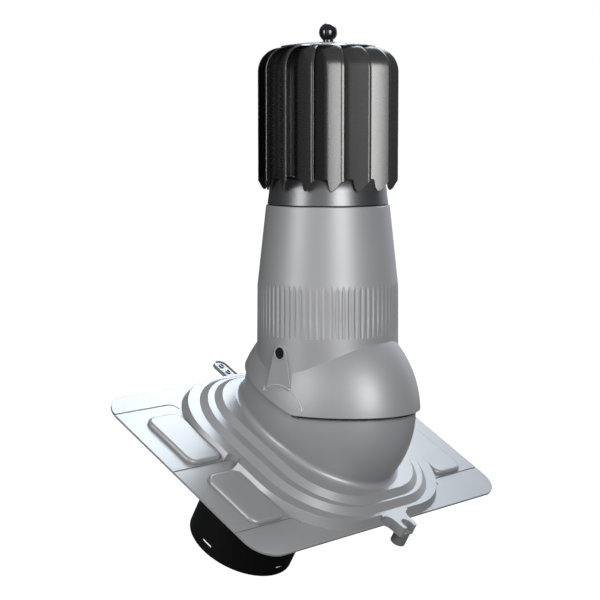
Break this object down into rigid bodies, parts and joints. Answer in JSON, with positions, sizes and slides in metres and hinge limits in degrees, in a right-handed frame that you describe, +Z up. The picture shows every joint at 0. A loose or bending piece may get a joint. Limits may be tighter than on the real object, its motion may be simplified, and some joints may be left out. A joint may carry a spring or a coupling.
{
  "type": "roof vent pipe",
  "caption": "Roof pass-through vent: moulded plate with a stepped dome, a tilting fluted conical cowl and a wind-driven turbine head, over a round duct spigot.",
  "frame": {"origin": "on the duct spigot's axis, in the plane of the roof plate's underside", "axes": "+X along the cowl's tilt axis, +Y level and up the roof slope, +Z vertically up; the plate lies at 29.4 degrees to the horizontal"},
  "size_m": [0.512, 0.3738, 0.7669],
  "materials": {
    "grey_plastic": "satin moulded",
    "dark_grey_plastic": "matte",
    "black_plastic": "matte",
    "seal_rubber": "matte",
    "zinc_steel": "zinc plated",
    "bearing_steel": "ground",
    "satin_aluminium": "satin",
    "cap_metal": "satin",
    "graphite_metal": "glossy graphite coating",
    "gloss_black": "gloss"
  },
  "bodies": {
    "base": {"base_plate": "grey_plastic", "duct_spigot": "black_plastic", "spigot_seal": "seal_rubber", "spigot_screws": "zinc_steel", "lug_spacer": "dark_grey_plastic"},
    "cowl": {"cowl_casing": "grey_plastic", "left_lock_screw": "zinc_steel", "right_lock_screw": "zinc_steel", "left_clamp_shoe": "black_plastic", "right_clamp_shoe": "black_plastic", "left_plug": "black_plastic", "right_plug": "black_plastic", "bearing_spider": "black_plastic", "spider_screws": "zinc_steel", "spindle": "zinc_steel", "spindle_nut": "zinc_steel", "lower_bearing": "bearing_steel", "upper_bearing": "bearing_steel", "bearing_spacer": "satin_aluminium", "spindle_clip": "zinc_steel"},
    "rotor": {"rotor_hub": "satin_aluminium", "rotor_spokes": "zinc_steel", "rotor_collar": "satin_aluminium", "rotor_cap": "cap_metal", "top_ball": "gloss_black", "rotor_blade_01": "graphite_metal", "rotor_blade_02": "graphite_metal", "rotor_blade_03": "graphite_metal", "rotor_blade_04": "graphite_metal", "rotor_blade_05": "graphite_metal", "rotor_blade_06": "graphite_metal", "rotor_blade_07": "graphite_metal", "rotor_blade_08": "graphite_metal", "rotor_blade_09": "graphite_metal", "rotor_blade_10": "graphite_metal", "rotor_blade_11": "graphite_metal", "rotor_blade_12": "graphite_metal", "rotor_blade_13": "graphite_metal", "rotor_blade_14": "graphite_metal", "rotor_blade_15": "graphite_metal"}
  },
  "joints": [
    {"name": "cowl_tilt", "type": "hinge", "parent": "base", "child": "cowl", "pos_m": [0, -0.06609, 0.04253], "axis": [1, 0, 0], "range_deg": [-15, 15]},
    {"name": "rotor_spin", "type": "hinge", "parent": "cowl", "child": "rotor", "pos_m": [0, -0.06609, 0.42253], "axis": [0, 0, 1], "continuous": true}
  ]
}
